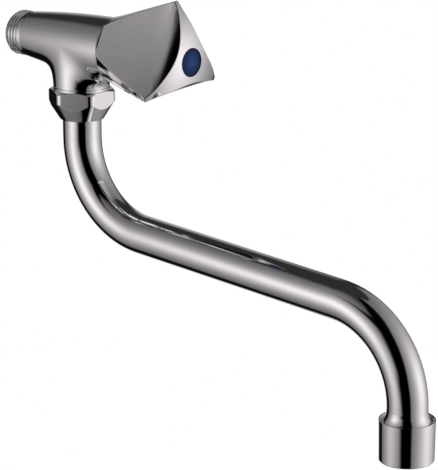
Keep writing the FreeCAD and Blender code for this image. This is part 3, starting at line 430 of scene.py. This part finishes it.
def chrome_piece(name, mesh, replaced):
    """Makes a chrome piece of the tap's body out of a mesh, in the place of a node."""
    made = bpy.data.meshes.new(name)
    mesh.to_mesh(made)
    mesh.free()
    piece = bpy.data.objects.new(name, made)
    bpy.context.scene.collection.objects.link(piece)
    made.materials.append(CHROME)
    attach(piece, "tap")
    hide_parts(replaced)


def thread_radius(turn, along):
    """Radius of the cut thread at a place along it (from its end) and a part of a turn."""
    phase = (along / THREAD_PITCH + turn) % 1.0
    flank = abs(phase - 0.5) * 2
    ridge = min(max((flank - THREAD_CREST_SHARE) / THREAD_FLANK_SHARE, 0.0), 1.0)
    ridge = eased(ridge) * THREAD_ROUNDING + ridge * (1 - THREAD_ROUNDING)
    cut = THREAD_TOP_RADIUS - (THREAD_TOP_RADIUS - THREAD_ROOT_RADIUS) * ridge
    if along < PILOT_LENGTH:
        return PILOT_RADIUS - (PILOT_LENGTH - along) * PILOT_SLOPE
    to_shoulder = THREAD_LENGTH - along
    neck = THREAD_TOP_RADIUS - max(THREAD_RUN_OUT - to_shoulder, 0.0) * NECK_SLOPE
    neck -= GROOVE_DEPTH * eased(2 - 2 * to_shoulder / GROOVE_WIDTH)
    fade = min(max((to_shoulder - THREAD_RUN_OUT) / THREAD_PITCH + 0.5, 0.0), 1.0)
    return neck + (cut - THREAD_TOP_RADIUS) * fade


def barrel_radius(out):
    """Radius of the swelling barrel at a distance from the wall."""
    taper = (BARREL_FRONT_RADIUS - BARREL_BACK_RADIUS) * out / BARREL_LENGTH
    return BARREL_BACK_RADIUS + taper + out * (BARREL_LENGTH - out) / (2 * BARREL_SWELL_RADIUS)


def eased(share):
    """A share from 0 to 1 that starts and ends softly."""
    share = min(max(share, 0.0), 1.0)
    return share * share * (3 - 2 * share)


def tee_section(aside, drop, side):
    """Depth below the tee's middle lines, and its radius, beside the leg and below the barrel.

    The depth is that of the barrel far from the leg and that of the leg far below the barrel, and the two
    flow into each other where they meet.
    """
    out = LEG_OUT - side * aside
    longest = LEG_OUT if side > 0 else BARREL_LENGTH - LEG_OUT
    from_middle = min(math.hypot(aside, drop) / TEE_SOFT_REACH, 1.0)
    softness = TEE_SOFT_MIDDLE + (TEE_SOFT_EDGE - TEE_SOFT_MIDDLE) * from_middle ** TEE_SOFT_POWER
    barrel_share = aside ** softness
    leg_share = drop ** softness
    both = barrel_share + leg_share
    leg_radius = barrel_radius(LEG_OUT) + (LEG_RADIUS - barrel_radius(LEG_OUT)) * drop / LEG_DROP
    if both == 0.0:
        return 0.0, leg_radius
    radius = (barrel_radius(out) * barrel_share + leg_radius * leg_share) / both
    plain = min(aside, drop)
    flowing = aside * drop / both ** (1 / softness)
    kept = 1 - eased((aside - TEE_FADE_OUT) / (longest - TEE_FADE_OUT))
    kept *= 1 - eased((drop - TEE_FADE_DROP) / (LEG_DROP - TEE_FADE_DROP))
    return plain - (plain - flowing) * kept, radius


def tee_place(start, lean, level, side):
    """Place on the tee's lower skin, out from its middle line, where it has turned to a level."""
    near, far = 0.0, 2 * LEG_RADIUS
    for _ in range(TEE_HALVINGS):
        middle = (near + far) / 2
        depth, radius = tee_section(start[0] + lean[0] * middle, start[1] + lean[1] * middle, side)
        if depth < radius * math.sin(level):
            near = middle
        else:
            far = middle
    aside = start[0] + lean[0] * near
    drop = start[1] + lean[1] * near
    radius = tee_section(aside, drop, side)[1]
    return radius * math.cos(level), side * aside - LEG_OUT, -drop


def tee_lines(side):
    """Starts along the tee's middle lines, from a barrel end to the leg's end, each with its way out."""
    longest = LEG_OUT if side > 0 else BARREL_LENGTH - LEG_OUT
    lines = []
    count = round(longest / TEE_STEP)
    for step in range(count + 1):
        share = 1 - step / count
        angle = math.pi / 4 * (1 + share ** TEE_FAN_SHARE)
        lines.append(((longest * share, 0.0), (math.cos(angle), math.sin(angle))))
    count = round(LEG_DROP / TEE_STEP)
    for step in range(1, count + 1):
        share = step / count
        angle = math.pi / 4 * (1 - share ** TEE_FAN_SHARE)
        lines.append(((0.0, LEG_DROP * share), (math.cos(angle), math.sin(angle))))
    return lines


def tee_sheets():
    """Rows of places on one half of the tee's skin: below, on both sides of the leg, and above."""
    levels = [math.pi / 2 * row / TEE_ROWS for row in range(TEE_ROWS + 1)]
    for side in (1, -1):
        lines = tee_lines(side)
        yield [[tee_place(start, lean, level, side) for level in levels] for start, lean in lines]
        upper = []
        for start, _ in lines:
            if start[1] == 0.0:
                out = LEG_OUT - side * start[0]
                radius = barrel_radius(out)
                upper.append([(radius * math.cos(level), -out, radius * math.sin(level))
                              for level in levels])
        yield upper


def on_tee_skin(face):
    """True for a face of the plain barrel, leg or the hollow between them."""
    centre = face.calc_center_median()
    out = -centre.y
    if not SAME_PLACE < out < BARREL_LENGTH - SAME_PLACE or centre.z < SAME_PLACE - LEG_DROP:
        return False
    from_barrel = math.hypot(centre.x, centre.z) - barrel_radius(out)
    from_leg = math.hypot(centre.x, out - LEG_OUT) - LEG_RADIUS
    return from_barrel > -SKIN_TOLERANCE and (from_barrel < SKIN_TOLERANCE or from_leg > -SKIN_TOLERANCE)


def flowing_tee(mesh):
    """Gives the body's mesh a soft skin in which barrel and leg flow together, like a polished casting."""
    skin = [face for face in mesh.faces if on_tee_skin(face)]
    bmesh.ops.delete(mesh, geom=skin, context="FACES")
    added = []
    for rows in tee_sheets():
        for half in (1, -1):
            grid = [[mesh.verts.new((half * aside, along, level)) for aside, along, level in row]
                    for row in rows]
            for row, following in zip(grid, grid[1:]):
                for corners in zip(row, row[1:], following[1:], following):
                    mesh.faces.new(corners).smooth = True
            added.extend(vertex for row in grid for vertex in row)
    bmesh.ops.remove_doubles(mesh, verts=added, dist=SAME_PLACE)
    bmesh.ops.recalc_face_normals(mesh, faces=mesh.faces)


def thread_ring(mesh, along, radius_at):
    """A ring of new vertices round the inlet, at a place along the thread from its end."""
    ring = []
    for side in range(THREAD_SIDES):
        turn = side / THREAD_SIDES
        radius = radius_at(turn)
        angle = turn * math.tau
        place = (radius * math.cos(angle), THREAD_LENGTH - along, radius * math.sin(angle))
        ring.append(mesh.verts.new(place))
    return ring


def threaded_body():
    """The cast body with a soft tee and a real thread cut into its inlet."""
    mesh = bmesh.new()
    mesh.from_mesh(nodes["tap_body"].data)
    flowing_tee(mesh)
    for vertex in mesh.verts:
        radius = math.hypot(vertex.co.x, vertex.co.z)
        if vertex.co.y > -SAME_PLACE and THREAD_CORE_RADIUS < radius < THREAD_TOP_RADIUS + NEAR_PLACE:
            vertex.co.x *= THREAD_CORE_RADIUS / radius
            vertex.co.z *= THREAD_CORE_RADIUS / radius
    end_ring = thread_ring(mesh, 0.0, lambda turn: THREAD_CORE_RADIUS)
    rings = [end_ring]
    for step in range(THREAD_STEPS + 1):
        along = THREAD_LENGTH * step / THREAD_STEPS
        rings.append(thread_ring(mesh, along, lambda turn: thread_radius(turn, along)))
    for lower, upper in zip(rings, rings[1:]):
        for side in range(THREAD_SIDES):
            following = (side + 1) % THREAD_SIDES
            face = mesh.faces.new((lower[side], lower[following], upper[following], upper[side]))
            face.smooth = lower is not end_ring
    chrome_piece("threaded_body", mesh, "tap_body")


def nut_reach(angle):
    """Distance of the hexagon's side from its axis, at an angle from the middle of a flat."""
    aside = abs(angle)
    if math.tan(aside) * NUT_FLAT <= (NUT_FLAT - NUT_CORNER) * math.tan(math.pi / 6):
        return NUT_FLAT / math.cos(aside)
    from_corner = math.pi / 6 - aside
    corner_out = (NUT_FLAT - NUT_CORNER) / math.cos(math.pi / 6)
    past_middle = math.sqrt(NUT_CORNER ** 2 - (corner_out * math.sin(from_corner)) ** 2)
    return corner_out * math.cos(from_corner) + past_middle


def nut_angles():
    """Angles over one flat and the corners beside it, closer together round the corners."""
    flat_end = math.atan((NUT_FLAT - NUT_CORNER) * math.tan(math.pi / 6) / NUT_FLAT)
    flat = [flat_end * (2 * step / NUT_FLAT_STEPS - 1) for step in range(NUT_FLAT_STEPS + 1)]
    corner = [flat_end + (math.pi / 6 - flat_end) * step / NUT_CORNER_STEPS
              for step in range(1, NUT_CORNER_STEPS + 1)]
    return [-angle for angle in reversed(corner)] + flat + corner[:-1]


def nut_outline(reach, low):
    """Radii and levels up the nut's side where the hexagon reaches so far: cone, side, chamfer and top."""
    top = low + NUT_HEIGHT
    foot = low + (reach - NUT_LOW_RADIUS) / math.tan(NUT_CONE)
    brow = top - (reach - NUT_FLAT) * math.tan(NUT_CHAMFER)
    return (NUT_LOW_RADIUS, low), (reach, foot), (reach, brow), (NUT_FLAT, top), (NUT_COLLAR_RADIUS, top)


def on_nut_skin(face, middle, low):
    """True for a face of the hexagon's flats, its chamfer or the cone below."""
    centre = face.calc_center_median()
    radius = math.hypot(centre.x - middle.x, centre.y - middle.y)
    on_cone = abs(NUT_LOW_RADIUS + (centre.z - low) * math.tan(NUT_CONE) - radius) < NUT_TOLERANCE
    return radius > NUT_COLLAR_RADIUS + NUT_TOLERANCE or (on_cone and centre.z > low + NEAR_PLACE)


def buffed_nut():
    """The union nut with the corners of its hexagon rounded, as buffing leaves them."""
    mesh = bmesh.new()
    mesh.from_mesh(nodes["union_nut"].data)
    middle = Vector((0, -LEG_OUT, 0))
    low = min(vertex.co.z for vertex in mesh.verts)
    farthest = max(mesh.verts, key=lambda vertex: (vertex.co - middle).to_2d().length)
    first_corner = math.atan2(farthest.co.y - middle.y, farthest.co.x - middle.x)
    skin = [face for face in mesh.faces if on_nut_skin(face, middle, low)]
    bmesh.ops.delete(mesh, geom=skin, context="FACES")
    columns = []
    for side in range(6):
        for from_flat in nut_angles():
            angle = first_corner + math.pi / 6 + side * math.pi / 3 + from_flat
            columns.append((angle, nut_outline(nut_reach(from_flat), low)))
    for band in range(4):
        pairs = []
        for angle, outline in columns:
            pairs.append([mesh.verts.new((middle.x + radius * math.cos(angle),
                                          middle.y + radius * math.sin(angle), level))
                          for radius, level in outline[band:band + 2]])
        for pair, following in zip(pairs, pairs[1:] + pairs[:1]):
            mesh.faces.new((pair[0], following[0], following[1], pair[1])).smooth = True
    chrome_piece("buffed_nut", mesh, "union_nut")


def view_direction(aside, elevation):
    """From the tap towards a place aside of the camera (right is positive) and above the horizon."""
    azimuth = CAMERA_AZIMUTH + aside
    level = math.cos(elevation)
    return Vector((math.sin(azimuth) * level, -math.cos(azimuth) * level, math.sin(elevation)))


def set_camera():
    lens = bpy.data.cameras.new("product_camera")
    lens.lens = CAMERA_LENS
    lens.sensor_width = CAMERA_SENSOR
    lens.clip_start, lens.clip_end = CAMERA_REACH
    camera = bpy.data.objects.new("product_camera", lens)
    bpy.context.scene.collection.objects.link(camera)
    across = Vector((math.cos(CAMERA_AZIMUTH), math.sin(CAMERA_AZIMUTH), 0))
    back = view_direction(0, CAMERA_ELEVATION)
    up = back.cross(across)
    turned = Matrix((across, up, back)).transposed() @ Matrix.Rotation(CAMERA_ROLL, 3, "Z")
    camera.matrix_world = Matrix.Translation(CAMERA_PLACE) @ turned.to_4x4()
    bpy.context.scene.camera = camera


def stage_mesh(name, corners, faces, finish):
    mesh = bpy.data.meshes.new(name)
    mesh.from_pydata(corners, [], faces)
    mesh.materials.append(finish)
    made = bpy.data.objects.new(name, mesh)
    bpy.context.scene.collection.objects.link(made)
    return made


def only_reflected(made):
    """Keeps a studio panel out of sight, and out of the way of light, except in what the metal mirrors."""
    made.visible_camera = False
    made.visible_diffuse = False
    made.visible_shadow = False
    made.visible_transmission = False


def lamp_glow(tree, aside, height, peak, spot, spread):
    """Brightness of a cloth with a lamp behind it: full at the spot, fading with distance from it."""
    total = 1.0
    for source, centre, widths in ((aside, spot[0], spread[0]), (height, spot[1], spread[1])):
        offset = math_node(tree, "SUBTRACT", source, centre)
        for way, width in zip(("MINIMUM", "MAXIMUM"), widths):
            share = math_node(tree, "DIVIDE", math_node(tree, way, offset, 0.0), width)
            total = math_node(tree, "ADD", math_node(tree, "MULTIPLY", share, share), total)
    return math_node(tree, "DIVIDE", peak, total)


def product(tree, *shares):
    total = shares[0]
    for share in shares[1:]:
        total = math_node(tree, "MULTIPLY", total, share)
    return total


def rest_of(tree, share):
    return math_node(tree, "SUBTRACT", 1.0, share)


def past_edge(tree, source, edge):
    """0 before an edge of a cloth and 1 past it, with a soft change between."""
    return map_range(tree, source, edge - CLOTH_EDGE, edge + CLOTH_EDGE)


def risen_past(tree, height, start, slant):
    """How far an edge has slanted at a height above its start."""
    above = math_node(tree, "MAXIMUM", math_node(tree, "SUBTRACT", height, start), 0.0)
    return math_node(tree, "MULTIPLY", above, slant)


def left_cloth(tree, across, along, aside, height):
    """The left cloth: folds move its front edge back, and behind the tap its upper part is shut."""
    dark, full = LEFT_CLOTH_FRONT
    for fold in LEFT_CLOTH_FOLDS:
        away = math_node(tree, "ABSOLUTE", math_node(tree, "SUBTRACT", height, fold["height"]))
        share = map_range(tree, away, fold["half"][1], fold["half"][0])
        dark = math_node(tree, "ADD", dark, math_node(tree, "MULTIPLY", share, fold["shift"][0]))
        full = math_node(tree, "ADD", full, math_node(tree, "MULTIPLY", share, fold["shift"][1]))
    raised = math_node(tree, "MAXIMUM", height, LEFT_CLOTH_LEVEL)
    slanted = math_node(tree, "ADD", aside, math_node(tree, "MULTIPLY", raised, LEFT_CLOTH_SLANT))
    leftward = math_node(tree, "MULTIPLY", across, -1.0)
    shut = product(tree, map_range(tree, height, *SHUT_ABOVE), map_range(tree, along, *SHUT_BEHIND),
                   rest_of(tree, map_range(tree, leftward, *OPEN_LEFT)))
    return product(tree, lamp_glow(tree, aside, height, **LEFT_LAMP), map_range(tree, aside, dark, full),
                   past_edge(tree, slanted, LEFT_CLOTH_BACK), rest_of(tree, shut),
                   map_range(tree, height, *LEFT_CLOTH_TOP))


def right_cloth(tree, aside, height):
    """The right cloth: its front and back edges slant, and its foot is dimmer."""
    front = aside
    for start, slant in RIGHT_FRONT_SLANTS:
        front = math_node(tree, "SUBTRACT", front, risen_past(tree, height, start, slant))
    sinking = math_node(tree, "MAXIMUM", math_node(tree, "SUBTRACT", -RIGHT_FRONT_SINKS, height), 0.0)
    front = math_node(tree, "SUBTRACT", front, sinking)
    back = math_node(tree, "ADD", aside, risen_past(tree, height, *RIGHT_BACK_SLANT))
    return product(tree, past_edge(tree, front, RIGHT_CLOTH_FRONT),
                   rest_of(tree, past_edge(tree, back, RIGHT_CLOTH_BACK)),
                   lamp_glow(tree, aside, height, **RIGHT_LAMP),
                   map_range(tree, height, *RIGHT_CLOTH_FOOT, 1.0))


def back_table(tree, across, along, height):
    """The white table behind the tap; its places are degrees from straight behind."""
    from_back = math_node(tree, "DEGREES", math_node(tree, "ARCTAN2", across, along))
    left_edge, right_edge = BACK_EDGES
    return product(tree, lamp_glow(tree, from_back, height, **BACK_TABLE),
                   map_range(tree, height, *BACK_TOP), past_edge(tree, from_back, left_edge),
                   rest_of(tree, past_edge(tree, from_back, right_edge)))


def tent_finish():
    """Light of the tent, worked out from the direction in which the metal mirrors it."""
    finish = bpy.data.materials.new("light_tent")
    finish.use_nodes = True
    tree = finish.node_tree
    tree.nodes.clear()
    direction = put(tree, "ShaderNodeVectorMath", operation="NORMALIZE")
    tree.links.new(put(tree, "ShaderNodeTexCoord").outputs["Object"], direction.inputs[0])
    split = put(tree, "ShaderNodeSeparateXYZ")
    tree.links.new(direction.outputs["Vector"], split.inputs[0])
    across, along, up = split.outputs
    camera_side = math_node(tree, "MULTIPLY", along, -1.0)
    aside = math_node(tree, "DEGREES", math_node(tree, "ARCTAN2", across, camera_side))
    height = math_node(tree, "DEGREES", math_node(tree, "ARCSINE", up))
    from_camera = math_node(tree, "ABSOLUTE", aside)
    room = product(tree, map_range(tree, height, *ROOM_HEIGHTS, *ROOM_LIGHT),
                   map_range(tree, from_camera, *ROOM_NEAR_CAMERA, 1.0))
    cloths = math_node(tree, "ADD", left_cloth(tree, across, along, aside, height),
                       right_cloth(tree, aside, height))
    total = math_node(tree, "ADD", cloths,
                      math_node(tree, "ADD", back_table(tree, across, along, height), room))
    total = product(tree, total, map_range(tree, from_camera, *CAMERA_GAP, 1.0))
    light = put(tree, "ShaderNodeEmission")
    light.inputs["Color"].default_value = TENT_TINT
    tree.links.new(total, light.inputs["Strength"])
    tree.links.new(light.outputs[0], put(tree, "ShaderNodeOutputMaterial").inputs["Surface"])
    return finish


def light_tent():
    """A round tent that the metal mirrors; its own Y points away from the camera."""
    corners = []
    for row in range(TENT_UPRIGHT + 1):
        elevation = math.pi * (row / TENT_UPRIGHT - 0.5)
        level = math.cos(elevation) * TENT_RADIUS
        for step in range(TENT_AROUND):
            angle = math.tau * step / TENT_AROUND
            corners.append((level * math.sin(angle), level * math.cos(angle),
                            TENT_RADIUS * math.sin(elevation)))
    faces = []
    for low in range(0, TENT_UPRIGHT * TENT_AROUND, TENT_AROUND):
        high = low + TENT_AROUND
        for step in range(TENT_AROUND):
            following = (step + 1) % TENT_AROUND
            faces.append((low + step, low + following, high + following, high + step))
    tent = stage_mesh("light_tent", corners, faces, tent_finish())
    tent.location = STUDIO_MIDDLE
    tent.rotation_euler = (0, 0, CAMERA_AZIMUTH)
    only_reflected(tent)


def pale_floor():
    """A pale floor that takes the tap's shadow and runs out into white."""
    finish = bpy.data.materials.new("pale_floor")
    finish.use_nodes = True
    tree = finish.node_tree
    shader = next(node for node in tree.nodes if node.type == "BSDF_PRINCIPLED")
    shader.inputs["Base Color"].default_value = FLOOR_COLOUR
    shader.inputs["Roughness"].default_value = FLOOR_ROUGHNESS
    white = put(tree, "ShaderNodeEmission")
    distance = put(tree, "ShaderNodeVectorMath", operation="LENGTH")
    tree.links.new(put(tree, "ShaderNodeTexCoord").outputs["Object"], distance.inputs[0])
    mix = put(tree, "ShaderNodeMixShader")
    tree.links.new(map_range(tree, distance.outputs["Value"], *FLOOR_FADE), mix.inputs["Fac"])
    tree.links.new(shader.outputs[0], mix.inputs[1])
    tree.links.new(white.outputs[0], mix.inputs[2])
    output = next(node for node in tree.nodes if node.type == "OUTPUT_MATERIAL")
    tree.links.new(mix.outputs[0], output.inputs["Surface"])
    corners = [(FLOOR_HALF * x, FLOOR_HALF * y, 0) for x, y in ((-1, -1), (1, -1), (1, 1), (-1, 1))]
    floor = stage_mesh("pale_floor", corners, [(0, 1, 2, 3)], finish)
    floor.location = STUDIO_MIDDLE - Vector((0, 0, FLOOR_DROP))
    floor.visible_glossy = False


def white_world():
    """White where it is seen, mirrored or looked through, and dimmer as a light."""
    world = bpy.data.worlds.new("white_studio")
    bpy.context.scene.world = world
    world.use_nodes = True
    tree = world.node_tree
    tree.nodes.clear()
    path = put(tree, "ShaderNodeLightPath").outputs
    seen = math_node(tree, "MAXIMUM", path["Is Camera Ray"], path["Is Glossy Ray"])
    seen = math_node(tree, "MAXIMUM", seen, path["Is Transmission Ray"])
    background = put(tree, "ShaderNodeBackground")
    background.inputs["Color"].default_value = (1, 1, 1, 1)
    tree.links.new(map_range(tree, seen, 0.0, 1.0, BACKGROUND_LIGHT, 1.0), background.inputs["Strength"])
    tree.links.new(background.outputs[0], put(tree, "ShaderNodeOutputWorld").inputs["Surface"])


def soft_lamp(name, aside, elevation, power):
    light = bpy.data.lights.new(name, "AREA")
    light.size = LAMP_WIDTH
    light.energy = power
    lamp = bpy.data.objects.new(name, light)
    bpy.context.scene.collection.objects.link(lamp)
    direction = view_direction(math.radians(aside), math.radians(elevation))
    lamp.location = STUDIO_MIDDLE + direction * LAMP_DISTANCE
    lamp.rotation_mode = "QUATERNION"
    lamp.rotation_quaternion = direction.to_track_quat("Z", "Y")
    lamp.visible_glossy = False


dress_nodes()
threaded_body()
buffed_nut()
set_camera()
light_tent()
pale_floor()
white_world()
for lamp_name, lamp_place in SOFT_LAMPS.items():
    soft_lamp(lamp_name, *lamp_place)
bpy.context.scene.view_settings.view_transform = "Standard"
